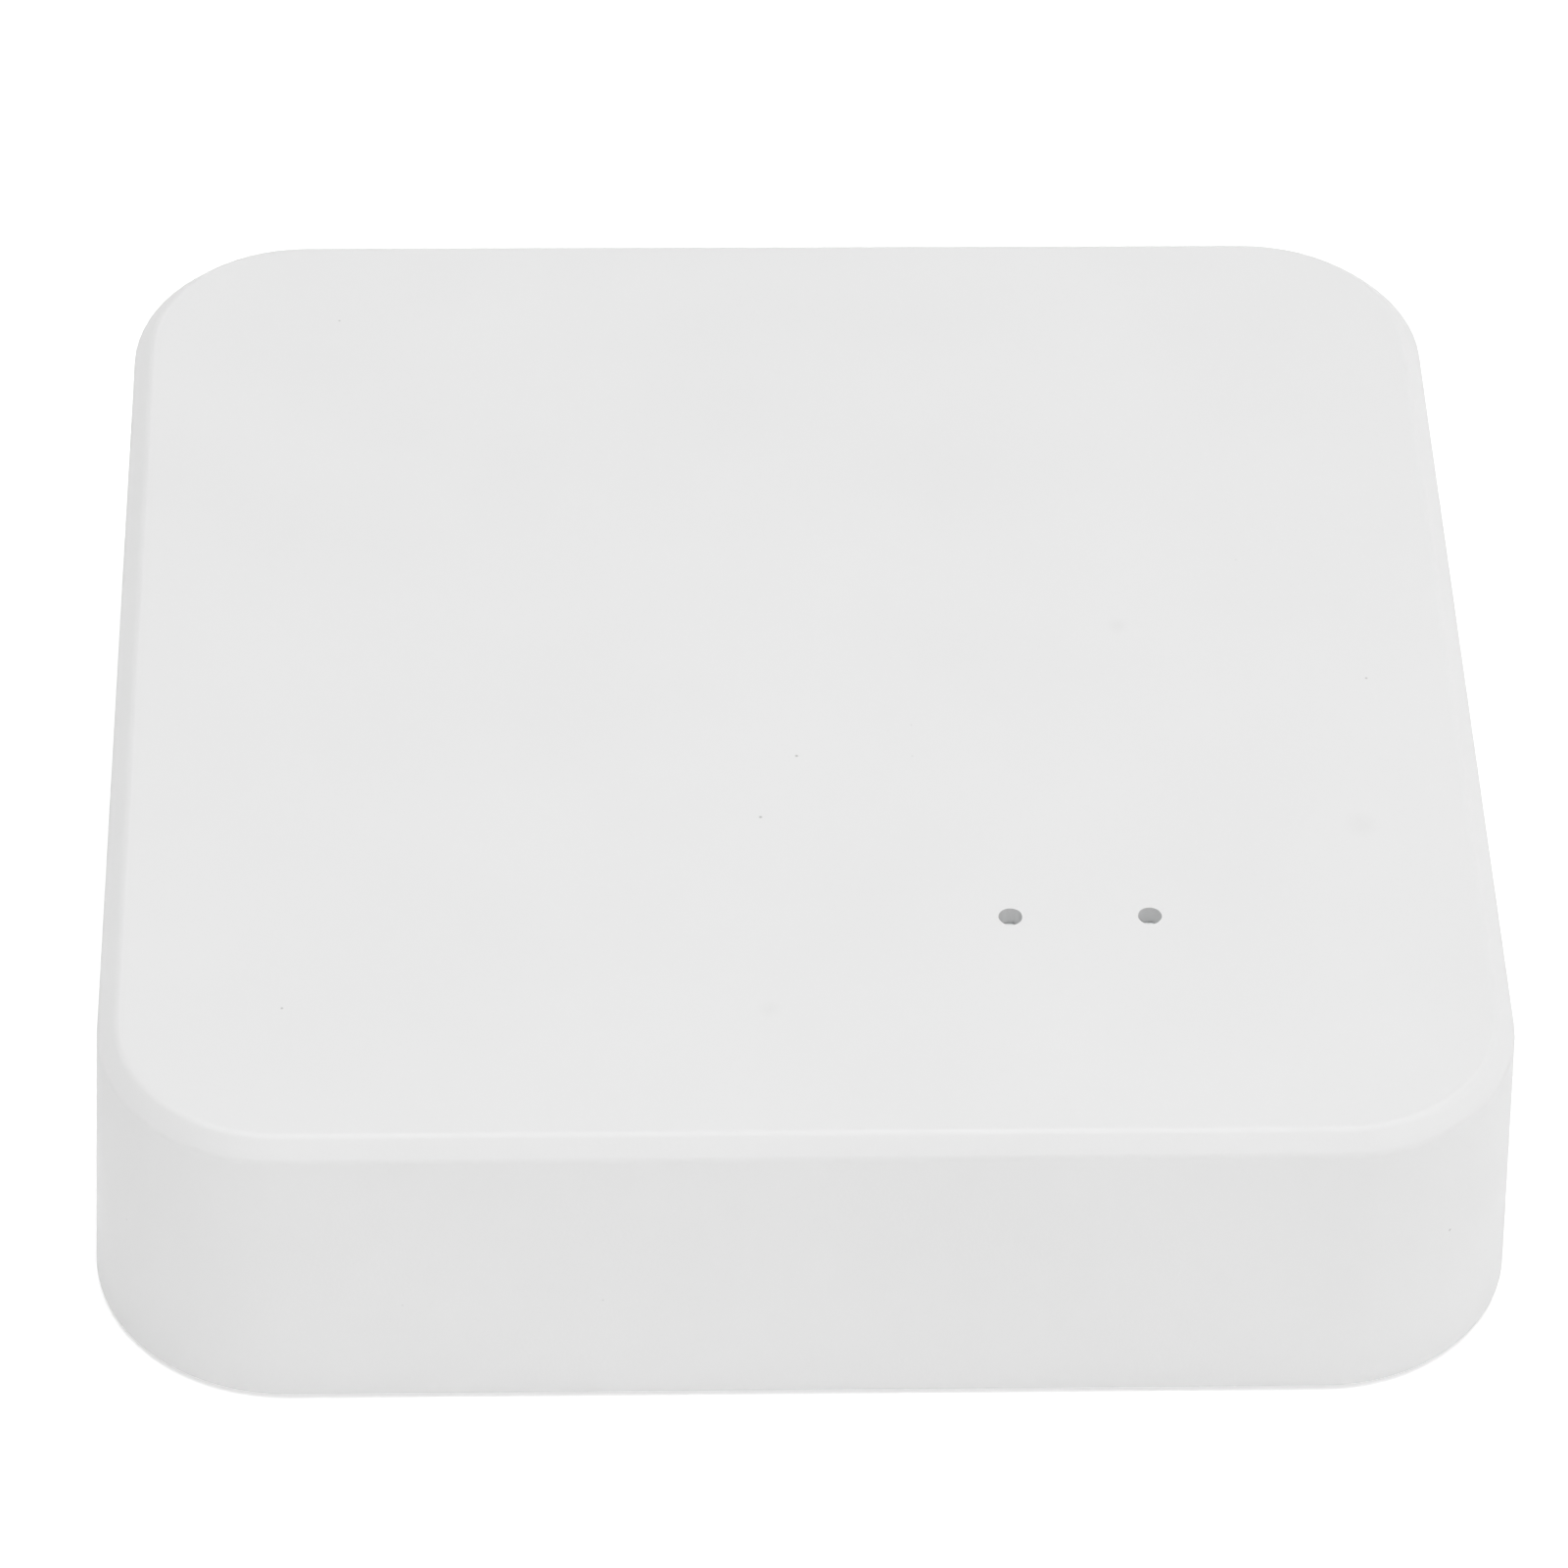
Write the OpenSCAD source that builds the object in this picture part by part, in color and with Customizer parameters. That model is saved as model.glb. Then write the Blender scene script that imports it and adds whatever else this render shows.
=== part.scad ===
// Wired smart home hub: a low, nearly square plastic case with round corners and a flat chamfer round its
// top edge. It holds one circuit board with a network jack, a power socket, a radio module, a reset switch
// and two status lights. Millimetres. The origin is at the middle of the footprint, on the plane that the
// feet stand on. +Z is up, -Y is the front and +Y is the rear, where the sockets are.

/* [Case] */
// Width of the case at the foot of its walls
body_w = 90; // [84:1:120]
// Depth of the case at the foot of its walls
body_d = 90; // [88:1:120]
// Overall height, standing on its feet
body_h = 21.4; // [21.4:0.1:30]
// Radius of the upright corners at the foot of the walls
corner_r = 12.5; // [8:0.5:16]
// How far each wall leans in between its foot and the chamfer
wall_draft = 0.9; // [0.3:0.1:1.2]
// Width and height of the flat chamfer round the top edge
edge_chamfer = 1.2; // [0.4:0.1:1.6]
// Thickness of the walls
wall_t = 2.0; // [1.6:0.1:2.4]
// Thickness of the top
top_t = 2.0; // [1.4:0.1:2.2]

/* [Bottom cover] */
// Thickness of the bottom cover
cover_t = 1.8; // [1.5:0.1:2.2]
// How far the cover lies inside the foot of the walls
cover_inset = 0.2; // [0:0.1:0.5]
// Gap between the cover and the walls
cover_gap = 0.15; // [0.1:0.05:0.3]
// Thickness of the wall outside the cover
rim_t = 1.3; // [1.0:0.1:1.4]
// Thickness of the lip that carries the snap beads
lip_t = 1.2; // [1:0.1:1.6]
// Height of the lip above the cover
lip_h = 1.2; // [1:0.1:1.3]
// Length of a snap bead
bead_l = 6; // [4:0.5:8]
// How far a snap bead stands out of the lip
bead_out = 0.45; // [0.3:0.05:0.5]
// Distance of the snap beads from the middle of each side
bead_from_middle = 27; // [24:1:28]

/* [Feet and label] */
// Diameter of a rubber foot
foot_dia = 8; // [6:0.5:12]
// How far the feet stand below the walls
foot_stand = 0.4; // [0.3:0.1:1]
// Depth of the recess that a foot is glued into
foot_sink = 0.7; // [0.4:0.1:0.9]
// Distance of each foot's middle from the two nearest sides
foot_from_side = 13; // [10:1:18]
// Width of the rating label
label_w = 40; // [20:1:50]
// Depth of the rating label
label_d = 26; // [15:1:40]

/* [Status lights] */
// Diameter of the light holes in the top
light_hole_dia = 1.5; // [1:0.1:2.5]
// Distance between the two lights
light_pitch = 8.8; // [6:0.1:12]
// Distance of the lights from the front
light_from_front = 20.9; // [17:0.1:26]
// Distance of the outer light from the right side
light_from_right = 23.2; // [20:0.1:28]
// Diameter of a light pipe
pipe_dia = 3; // [2:0.1:3.6]
// Depth of a light pipe's tip below the top
tip_depth = 1.2; // [0.2:0.1:1.5]

/* [Circuit board] */
// Thickness of the circuit board
board_t = 1.6; // [1:0.1:1.6]
// Gap between the board's edge and the walls
board_gap = 0.7; // [0.5:0.1:1.5]
// Space under the board
board_clear = 1.5; // [1.4:0.1:1.8]
// Diameter of a screw's shank
screw_dia = 2; // [1.6:0.1:2.5]
// Diameter of a screw's head
screw_head_dia = 4; // [3:0.1:4.4]
// Length of a screw's shank
screw_len = 6; // [5:0.5:8]
// Distance of the screws from the side walls
screw_from_side = 9; // [8:0.5:11]

/* [Network jack] */
// Width of the network jack
jack_w = 16; // [15:0.1:17]
// Height of the network jack
jack_h = 13.2; // [12.5:0.1:13.4]
// Depth of the network jack
jack_d = 18; // [16:0.1:20]
// Width of the plug's cavity
plug_w = 11.8; // [11.7:0.1:12]
// Height of the plug's cavity
plug_h = 6.7; // [6.6:0.1:6.8]
// Depth of the plug's cavity
plug_depth = 13.5; // [12:0.1:14]

/* [Power socket] */
// Distance of the power socket from the middle of the rear wall
usb_from_middle = 18; // [16:0.5:21]
// Width of the power socket's metal shell
usb_w = 7.5; // [7.4:0.1:8]
// Height of the power socket's metal shell
usb_h = 2.6; // [2.5:0.1:3]
// Depth of the power socket
usb_d = 5.6; // [5:0.1:6]

/* [Reset button] */
// Distance of the reset button from the middle of the rear wall
reset_from_middle = 17; // [15:0.5:20]
// Diameter of the button's stem
reset_dia = 3.6; // [3:0.1:4]
// Travel of the button
reset_travel = 0.25; // [0.2:0.05:0.4]
// Running clearance round the stem
reset_clear = 0.1; // [0.05:0.01:0.1]
// Diameter of the switch's plunger
plunger_dia = 3.5; // [2.5:0.1:3.5]

/* [Hidden] */
$fn = 64;

// Small overshoot that keeps a cut from ending on the face that it opens
over = 0.5;
// Play between pieces that are pushed together
seat_gap = 0.05;

// Levels, from the ground up
rim_z = foot_stand;
cover_z = rim_z + cover_inset;
cover_top = cover_z + cover_t;
ledge_z = cover_top + seat_gap;
board_z = cover_top + board_clear;
board_top = board_z + board_t;
ceiling_z = body_h - top_t;
edge_z = body_h - edge_chamfer;

// Every upright corner turns about the same axis, so each wall is a distance from that axis
axis_x = body_w / 2 - corner_r;
axis_y = body_d / 2 - corner_r;

// Distance from the corner's axis to the outer and inner face of the wall at height z
function outer_at(z) = corner_r - wall_draft * (z - rim_z) / (edge_z - rim_z);
function inner_at(z) = outer_at(z) - wall_t;
// Where the rear wall's two faces are at height z
function rear_outer(z) = axis_y + outer_at(z);
function rear_inner(z) = axis_y + inner_at(z);

// Bottom cover
cover_r = corner_r - rim_t - cover_gap;
lip_top = cover_top + lip_h;
lip_r = inner_at(lip_top) - cover_gap;
bead_h = 0.8;
bead_z = lip_top - bead_h;
pocket_play = 0.15;
label_t = 0.15;
label_sink = 0.2;
label_r = 1.5;
foot_gap = 0.2;
foot_edge = 0.3;
rest_h = board_clear - seat_gap;
rest_dia = 3;

// Board: it follows the walls at the sides and the rear, and ends behind the front wall
board_r = corner_r - wall_t - board_gap;
board_rear = axis_y + board_r;
board_front = light_y() - 7;
function light_y() = -body_d / 2 + light_from_front;
light_x = [body_w / 2 - light_from_right - light_pitch, body_w / 2 - light_from_right];

// Board screws and the bosses that they go into
screw_x = body_w / 2 - screw_from_side;
screw_y = [board_front + 5, board_rear - 9];
screw_head_h = 1.2;
thread_gap = 0.05;
boss_wall = 1.6;
boss_r = screw_dia / 2 + boss_wall;
boss_rib_t = 1;
boss_rib_out = 3.5;
slot_w = 0.6;
slot_depth = 0.6;

// Light pipes
pipe_gap = 0.1;
tip_gap = 0.05;
pipe_top = ceiling_z - seat_gap;
collar_wall = 1;
collar_h = 6;
collar_z = ceiling_z - collar_h;
pipe_flange_r = pipe_dia / 2 + 0.8;
pipe_flange_h = 0.8;
led_w = 1.6;
led_d = 0.8;
led_base_h = 0.3;
led_h = 0.8;
led_gap = 0.4;
pipe_bottom = board_top + led_h + led_gap;

// Network jack
port_gap = 0.3;
port_inset = 0.3;
window_start = rear_inner(ceiling_z) - over;
jack_top = board_top + jack_h;
jack_face = rear_outer(jack_top) - port_inset;
shield_t = 0.25;
plug_z = board_top + 4.6;
plug_top = plug_z + plug_h;
latch_w = 6.2;
latch_h = 1.6;
latch_slot_w = 4;
latch_slot_h = 1.2;
contact_count = 8;
contact_pitch = 1.02;
contact_w = 0.45;
contact_t = 0.3;
contact_drop = 1.5;
contact_bend = 2.6;
contact_reach = 9;

// Power socket
usb_x = -usb_from_middle;
usb_lift = 0.1;
usb_bottom = board_top + usb_lift;
usb_mid = usb_bottom + usb_h / 2;
usb_recess = 0.9;
usb_recess_w = usb_w + 4;
usb_recess_h = usb_h + 4;
usb_recess_r = 1.6;
usb_face = rear_outer(usb_mid) - usb_recess - 0.15;
usb_skin = 0.25;
usb_slope = 0.9;
tongue_w = 4.2;
tongue_t = 0.55;
tongue_l = 3.4;
usb_contact_count = 5;
usb_contact_pitch = 0.65;
usb_contact_w = 0.3;
usb_contact_t = 0.08;

// Reset button and its switch
reset_x = reset_from_middle;
reset_z = board_top + 3.4;
reset_recess = 0.4;
reset_recess_r = reset_dia / 2 + 1.4;
reset_proud = 0.2;
button_end = rear_outer(reset_z) + reset_proud;
button_edge = 0.25;
flange_r = reset_dia / 2 + 1.1;
flange_t = 1;
flange_face = rear_inner(reset_z + flange_r) - 0.1;
hub_r = plunger_dia / 2 + 0.65;
hub_l = 2;
hub_rear = flange_face - flange_t - hub_l;
socket_depth = 1.6;
plunger_gap = 0.05;
plunger_tip = hub_rear + socket_depth - 0.02;
switch_w = 6;
switch_h = 6.4;
switch_cover_t = 0.3;
switch_front = hub_rear - reset_travel - 0.15;
switch_base_d = 3.2;
switch_base_front = switch_front - switch_cover_t;
switch_base_rear = switch_base_front - switch_base_d;
switch_floor = switch_base_rear + 1.1;
switch_bore_r = plunger_dia / 2 + 0.55;
plunger_flange_r = switch_bore_r - 0.1;
plunger_flange_t = 0.7;
plunger_flange_front = switch_base_front - 0.05;
dome_r = plunger_flange_r - 0.1;
dome_h = 0.5;
dome_t = 0.08;
nub_r = 0.6;
nub_tip = switch_floor + dome_t + dome_h + 0.03;
leg_w = 0.8;
leg_t = 0.3;

// Places of the chips on the board: from its middle across, and from its rear edge
transformer_back = 27;
processor_x = 2;
processor_back = 44;
memory_x = -22;
memory_back = 46;
flash_x = 24;
flash_back = 36;
crystal_x = 24;
crystal_back = 46;
regulator_x = -31;
regulator_back = 19;
inductor_x = -20;
inductor_back = 19;
capacitor_x = [-31, -22];
capacitor_back = 29;
capacitor_dia = 6.3;
capacitor_h = 5.8;
small_x = [-9.8, 15];
small_back = 33;
small_pitch = 2.4;
small_rows = 6;
radio_x = -24;
radio_w = 15;
radio_d = 17.3;
radio_y = board_front + radio_d / 2 + 0.5;
radio_t = 0.8;
radio_can_w = 11;
radio_can_h = 1.8;

// ---- Shared shapes ----

// A rectangle with round corners, about its middle
module rounded_rect(w, d, r) {
    square([w - 2 * r, d], center = true);
    square([w, d - 2 * r], center = true);
    for (x = [-1, 1], y = [-1, 1])
        translate([x * (w / 2 - r), y * (d / 2 - r)])
            circle(r);
}

// One straight side of the case: the profile runs along it, at its distance from the corner's axis
module along_side(length, off) {
    translate([off, length / 2, 0])
        rotate([90, 0, 0])
            linear_extrude(length)
                children();
}

// Sweeps a profile, drawn as distance from the corner's axis and height, round the whole case
module around_case() {
    for (side = [0, 2]) {
        rotate(90 * side)
            along_side(2 * axis_y, axis_x)
                children();
        rotate(90 * (side + 1))
            along_side(2 * axis_x, axis_y)
                children();
    }
    for (x = [-1, 1], y = [-1, 1])
        translate([x * axis_x, y * axis_y, 0])
            rotate(x > 0 ? (y > 0 ? 0 : 270) : (y > 0 ? 90 : 180))
                rotate_extrude(angle = 90)
                    children();
}

// The block between the four corner axes, from z_low to z_high
module core_block(z_low, z_high) {
    translate([-axis_x, -axis_y, z_low])
        cube([2 * axis_x, 2 * axis_y, z_high - z_low]);
}

// A shape drawn in X and Z, made solid from y_low to y_high
module along_y(y_low, y_high) {
    translate([0, y_high, 0])
        rotate([90, 0, 0])
            linear_extrude(y_high - y_low)
                children();
}

// A round bar along Y
module rod_y(x, z, r, y_low, y_high) {
    translate([x, y_high, z])
        rotate([90, 0, 0])
            cylinder(r = r, h = y_high - y_low);
}

// A box given by its two opposite corners
module box(low, high) {
    translate(low)
        cube(high - low);
}

// A flat bar between two points of a plane, with round ends
module bar(from, to, t) {
    run = to - from;
    translate(from)
        rotate(atan2(run[1], run[0]))
            translate([0, -t / 2])
                square([norm(run), t]);
    for (end = [from, to])
        translate(end)
            circle(d = t);
}

// Gives each foot its place
module at_foot(side_x, side_y) {
    translate([side_x * (body_w / 2 - foot_from_side), side_y * (body_d / 2 - foot_from_side), 0])
        children();
}

module at_screws() {
    for (x = [-1, 1], y = screw_y)
        translate([x * screw_x, y, 0])
            children();
}

// Puts a snap bead or its pocket on all four sides, clear of the sockets
module at_beads() {
    for (side = [0:3], along = [-1, 1])
        rotate(90 * side)
            translate([side % 2 == 0 ? axis_x : axis_y, along * bead_from_middle, 0])
                children();
}

// ---- Case ----

module top_shell_profile() {
    polygon([
        [corner_r, rim_z],
        [outer_at(edge_z), edge_z],
        [outer_at(edge_z) - edge_chamfer, body_h],
        [0, body_h],
        [0, ceiling_z],
        [inner_at(ceiling_z), ceiling_z],
        [inner_at(ledge_z), ledge_z],
        [corner_r - rim_t, ledge_z],
        [corner_r - rim_t, rim_z]
    ]);
}

// Boss for a board screw, with four ribs up to the ceiling
module screw_boss() {
    translate([0, 0, board_top])
        cylinder(r = boss_r, h = ceiling_z - board_top + over);
    for (turn = [0:3])
        rotate(90 * turn)
            rotate([90, 0, 0])
                translate([0, 0, -boss_rib_t / 2])
                    linear_extrude(boss_rib_t)
                        polygon([
                            [0, board_top + 4],
                            [boss_r, board_top + 4],
                            [boss_rib_out, ceiling_z + over],
                            [0, ceiling_z + over]
                        ]);
}

module screw_pilot() {
    translate([0, 0, board_top - over])
        cylinder(r = screw_dia / 2 + thread_gap, h = screw_len + over);
}

module light_collar() {
    translate([0, 0, collar_z])
        cylinder(r = pipe_dia / 2 + pipe_gap + collar_wall, h = collar_h + over);
}

module light_bore() {
    translate([0, 0, collar_z - over])
        cylinder(r = pipe_dia / 2 + pipe_gap, h = collar_h + over);
    translate([0, 0, ceiling_z - over])
        cylinder(d = light_hole_dia, h = top_t + 2 * over);
}

module jack_window() {
    box([-jack_w / 2 - port_gap, window_start, board_top - port_gap],
        [jack_w / 2 + port_gap, body_d / 2 + over, jack_top + port_gap]);
}

module usb_window() {
    along_y(window_start, body_d / 2 + over)
        translate([usb_x, usb_mid])
            rounded_rect(usb_w + 2 * port_gap, usb_h + 2 * port_gap, 0.8);
    along_y(rear_outer(usb_mid) - usb_recess, body_d / 2 + over)
        translate([usb_x, usb_mid])
            rounded_rect(usb_recess_w, usb_recess_h, usb_recess_r);
}

module reset_hole() {
    rod_y(reset_x, reset_z, reset_dia / 2 + reset_clear, window_start, body_d / 2 + over);
    rod_y(reset_x, reset_z, reset_recess_r, rear_outer(reset_z) - reset_recess, body_d / 2 + over);
}

module bead_pocket() {
    box([0, -bead_l / 2 - pocket_play, bead_z - pocket_play],
        [lip_r + bead_out + pocket_play, bead_l / 2 + pocket_play, lip_top + pocket_play]);
}

module top_shell() {
    color("whitesmoke")
    difference() {
        union() {
            around_case() top_shell_profile();
            core_block(ceiling_z, body_h);
            at_screws() screw_boss();
            for (x = light_x)
                translate([x, light_y(), 0])
                    light_collar();
        }
        at_screws() screw_pilot();
        for (x = light_x)
            translate([x, light_y(), 0])
                light_bore();
        jack_window();
        usb_window();
        reset_hole();
        at_beads() bead_pocket();
    }
}

module bottom_cover_profile() {
    polygon([
        [0, cover_z],
        [cover_r, cover_z],
        [cover_r, cover_top],
        [lip_r, cover_top],
        [lip_r, lip_top],
        [lip_r - lip_t, lip_top],
        [lip_r - lip_t, cover_top],
        [0, cover_top]
    ]);
}

// A bead stands out of the lip, with a sloping top that lets it slide past the wall
module snap_bead() {
    translate([0, bead_l / 2, 0])
        rotate([90, 0, 0])
            linear_extrude(bead_l)
                polygon([
                    [lip_r - lip_t / 2, bead_z],
                    [lip_r + bead_out, bead_z],
                    [lip_r + bead_out, bead_z + bead_h / 4],
                    [lip_r, lip_top],
                    [lip_r - lip_t / 2, lip_top]
                ]);
}

// Short pillars that hold the board up when a plug is pushed in
module board_rests() {
    for (x = [-1, 1], back = [7, 20])
        translate([x * (jack_w / 2 + 1), board_rear - back, cover_top - over])
            cylinder(d = rest_dia, h = rest_h + over);
}

module bottom_cover() {
    color("whitesmoke")
    difference() {
        union() {
            around_case() bottom_cover_profile();
            core_block(cover_z, cover_top);
            at_beads() snap_bead();
            board_rests();
        }
        for (x = [-1, 1], y = [-1, 1])
            at_foot(x, y)
                translate([0, 0, cover_z - over])
                    cylinder(r = foot_dia / 2 + foot_gap, h = foot_sink + over);
        translate([0, 0, cover_z - over])
            linear_extrude(label_sink + over)
                rounded_rect(label_w + 2 * foot_gap, label_d + 2 * foot_gap, label_r + foot_gap);
    }
}

// A foot is a rubber disc with a rounded lower edge
module foot(side_x, side_y) {
    top = cover_z + foot_sink;
    color("lightgray")
    at_foot(side_x, side_y)
        rotate_extrude()
            polygon([
                [0, 0],
                [foot_dia / 2 - foot_edge, 0],
                [foot_dia / 2 - foot_edge / 3, foot_edge / 3],
                [foot_dia / 2, foot_edge],
                [foot_dia / 2, top],
                [0, top]
            ]);
}

module rating_label() {
    color("white")
    translate([0, 0, cover_z + label_sink - label_t])
        linear_extrude(label_t)
            rounded_rect(label_w, label_d, label_r);
}

// ---- Board and its screws ----

module main_board() {
    color("darkgreen")
    translate([0, 0, board_z])
        linear_extrude(board_t)
            difference() {
                intersection() {
                    rounded_rect(2 * (axis_x + board_r), 2 * board_rear, board_r);
                    translate([-body_w / 2, board_front])
                        square([body_w, body_d]);
                }
                at_screws() circle(d = screw_dia + 0.6);
            }
}

module board_screw() {
    difference() {
        union() {
            translate([0, 0, board_z - screw_head_h])
                cylinder(d = screw_head_dia, h = screw_head_h);
            translate([0, 0, board_z - over])
                cylinder(d = screw_dia, h = board_t + screw_len - 1 + over);
        }
        for (turn = [0, 90])
            rotate(turn)
                box([-screw_head_dia / 3, -slot_w / 2, board_z - screw_head_h - over],
                    [screw_head_dia / 3, slot_w / 2, board_z - screw_head_h + slot_depth]);
    }
}

module board_screws() {
    color("silver")
    at_screws() board_screw();
}

// ---- Network jack ----

// The plug's cavity, seen from behind: the plug, its latch and the latch's tab
module plug_outline() {
    translate([-plug_w / 2, plug_z])
        square([plug_w, plug_h]);
    translate([-latch_w / 2, plug_z - latch_h])
        square([latch_w, latch_h + over]);
    translate([-latch_slot_w / 2, plug_z - latch_h - latch_slot_h])
        square([latch_slot_w, latch_slot_h + over]);
}

module jack_body() {
    inner_w = jack_w - 2 * shield_t;
    color("dimgray")
    difference() {
        box([-inner_w / 2, jack_face - jack_d + shield_t, board_top],
            [inner_w / 2, jack_face - shield_t, jack_top - shield_t]);
        along_y(jack_face - plug_depth, jack_face + over)
            plug_outline();
    }
}

module jack_shield() {
    color("silver")
    difference() {
        box([-jack_w / 2, jack_face - jack_d, board_top], [jack_w / 2, jack_face, jack_top]);
        box([-jack_w / 2 + shield_t, jack_face - jack_d + shield_t, board_top - over],
            [jack_w / 2 - shield_t, jack_face - shield_t, jack_top - shield_t]);
        along_y(jack_face - 2 * shield_t, jack_face + over)
            plug_outline();
    }
}

// Each contact runs along the cavity's ceiling and folds back down at an angle
module jack_contacts() {
    z_high = plug_top - contact_t;
    front = [jack_face - contact_bend, z_high];
    color("gold")
    for (n = [0:contact_count - 1])
        translate([(n - (contact_count - 1) / 2) * contact_pitch - contact_w / 2, 0, 0])
            rotate([90, 0, 90])
                linear_extrude(contact_w) {
                    bar(front, [jack_face - contact_reach, z_high - contact_drop], contact_t);
                    bar(front, [jack_face - plug_depth + contact_t, z_high], contact_t);
                    translate([jack_face - plug_depth, z_high - contact_t / 2])
                        square([contact_t, contact_t]);
                }
}

// ---- Power socket ----

// The shell's section: wide above and narrower below, so that the plug goes in one way
module usb_section(inset) {
    half = usb_w / 2 - inset;
    low = usb_bottom + inset;
    high = usb_bottom + usb_h - inset;
    translate([usb_x, 0])
        polygon([
            [-half + usb_slope, low],
            [half - usb_slope, low],
            [half, low + usb_slope],
            [half, high - 0.3],
            [half - 0.3, high],
            [-half + 0.3, high],
            [-half, high - 0.3],
            [-half, low + usb_slope]
        ]);
}

module usb_shell() {
    color("silver")
    difference() {
        along_y(usb_face - usb_d, usb_face) usb_section(0);
        along_y(usb_face - usb_d - over, usb_face + over) usb_section(usb_skin);
    }
}

module usb_insulator() {
    back = usb_face - usb_d;
    color("black") {
        along_y(back, back + usb_d - tongue_l - 1) usb_section(usb_skin);
        box([usb_x - tongue_w / 2, back + over, usb_mid],
            [usb_x + tongue_w / 2, usb_face - 1, usb_mid + tongue_t]);
    }
}

module usb_contacts() {
    front = usb_face - 1.3;
    color("gold")
    for (n = [0:usb_contact_count - 1])
        translate([usb_x + (n - (usb_contact_count - 1) / 2) * usb_contact_pitch, 0, 0])
            box([-usb_contact_w / 2, usb_face - tongue_l - 1, usb_mid - usb_contact_t],
                [usb_contact_w / 2, front, usb_mid]);
}

// ---- Reset button and switch ----

module reset_button() {
    color("whitesmoke")
    difference() {
        translate([reset_x, 0, reset_z])
            rotate([-90, 0, 0])
                rotate_extrude()
                    polygon([
                        [0, hub_rear],
                        [hub_r, hub_rear],
                        [hub_r, flange_face - flange_t],
                        [flange_r, flange_face - flange_t],
                        [flange_r, flange_face],
                        [reset_dia / 2, flange_face],
                        [reset_dia / 2, button_end - button_edge],
                        [reset_dia / 2 - button_edge, button_end],
                        [0, button_end]
                    ]);
        rod_y(reset_x, reset_z, plunger_dia / 2 + plunger_gap, hub_rear - over, hub_rear + socket_depth);
    }
}

module reset_switch_base() {
    color("dimgray")
    difference() {
        box([reset_x - switch_w / 2, switch_base_rear, board_top],
            [reset_x + switch_w / 2, switch_base_front, board_top + switch_h]);
        rod_y(reset_x, reset_z, switch_bore_r, switch_floor, switch_base_front + over);
    }
}

module reset_switch_plunger() {
    rear = plunger_flange_front - plunger_flange_t;
    color("white")
    translate([reset_x, 0, reset_z])
        rotate([-90, 0, 0])
            rotate_extrude()
                polygon([
                    [0, nub_tip],
                    [nub_r, nub_tip],
                    [nub_r, rear],
                    [plunger_flange_r, rear],
                    [plunger_flange_r, plunger_flange_front],
                    [plunger_dia / 2, plunger_flange_front],
                    [plunger_dia / 2, plunger_tip],
                    [0, plunger_tip]
                ]);
}

// A shallow steel dome that snaps flat under the plunger
module reset_switch_dome() {
    ball = (dome_r * dome_r + dome_h * dome_h) / (2 * dome_h);
    spread = asin(dome_r / ball);
    steps = 8;
    outer = [for (n = [0:steps]) ball * [sin(spread * n / steps), cos(spread * n / steps)]];
    inner = [for (n = [steps:-1:0]) outer[n] * (ball - dome_t) / ball];
    color("silver")
    translate([reset_x, switch_floor + dome_t + dome_h - ball, reset_z])
        rotate([-90, 0, 0])
            rotate_extrude()
                polygon(concat(outer, inner));
}

module reset_switch_cover() {
    hole_r = plunger_dia / 2 + plunger_gap;
    color("silver")
    difference() {
        box([reset_x - switch_w / 2, switch_base_front, board_top],
            [reset_x + switch_w / 2, switch_front, board_top + switch_h]);
        rod_y(reset_x, reset_z, hole_r, switch_base_front - over, switch_front + over);
    }
}

// Four bent legs behind the switch, standing on the board
module reset_switch_terminals() {
    color("silver")
    for (x = [-1, 1], z = [0, 1])
        translate([reset_x + x * (switch_w / 2 - leg_w) - leg_w / 2, 0, 0])
            rotate([90, 0, 90])
                linear_extrude(leg_w) {
                    reach = 0.4 + z;
                    translate([switch_base_rear - reach, board_top])
                        square([leg_t, 1.4 + z]);
                    translate([switch_base_rear - reach, board_top + 1.4 + z - leg_t])
                        square([reach, leg_t]);
                }
}

// ---- Status lights ----

// A rod with a seating flange, and a thinner tip that rises into the light hole
module light_pipe(x) {
    color("azure")
    translate([x, light_y(), 0])
        union() {
            translate([0, 0, pipe_bottom])
                cylinder(d = pipe_dia, h = pipe_top - pipe_bottom);
            translate([0, 0, pipe_top - over])
                cylinder(r = light_hole_dia / 2 - tip_gap, h = body_h - tip_depth - pipe_top + over);
            translate([0, 0, collar_z - pipe_flange_h])
                cylinder(r = pipe_flange_r, h = pipe_flange_h);
        }
}

module status_led(x) {
    color("lightyellow")
    translate([x, light_y(), 0]) {
        box([-led_w / 2, -led_d / 2, board_top], [led_w / 2, led_d / 2, board_top + led_base_h]);
        box([-led_w / 4, -led_d / 2, board_top], [led_w / 4, led_d / 2, board_top + led_h]);
    }
}

// ---- Chips ----

// A gull-wing lead, drawn in the plane of its bends: out of the package, down, and flat on the board
module lead_profile(drop) {
    translate([-over, drop - 0.1])
        square([over + 0.45, 0.2]);
    translate([0.25, 0])
        square([0.2, drop + 0.1]);
    translate([0.25, 0])
        square([0.75, 0.2]);
}

// A row of leads on the +X side of a package that is w wide
module lead_row(w, drop, count, pitch, lead_w) {
    for (n = [0:count - 1])
        translate([w / 2, (n - (count - 1) / 2) * pitch + lead_w / 2, 0])
            rotate([90, 0, 0])
                linear_extrude(lead_w)
                    lead_profile(drop);
}

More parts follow.
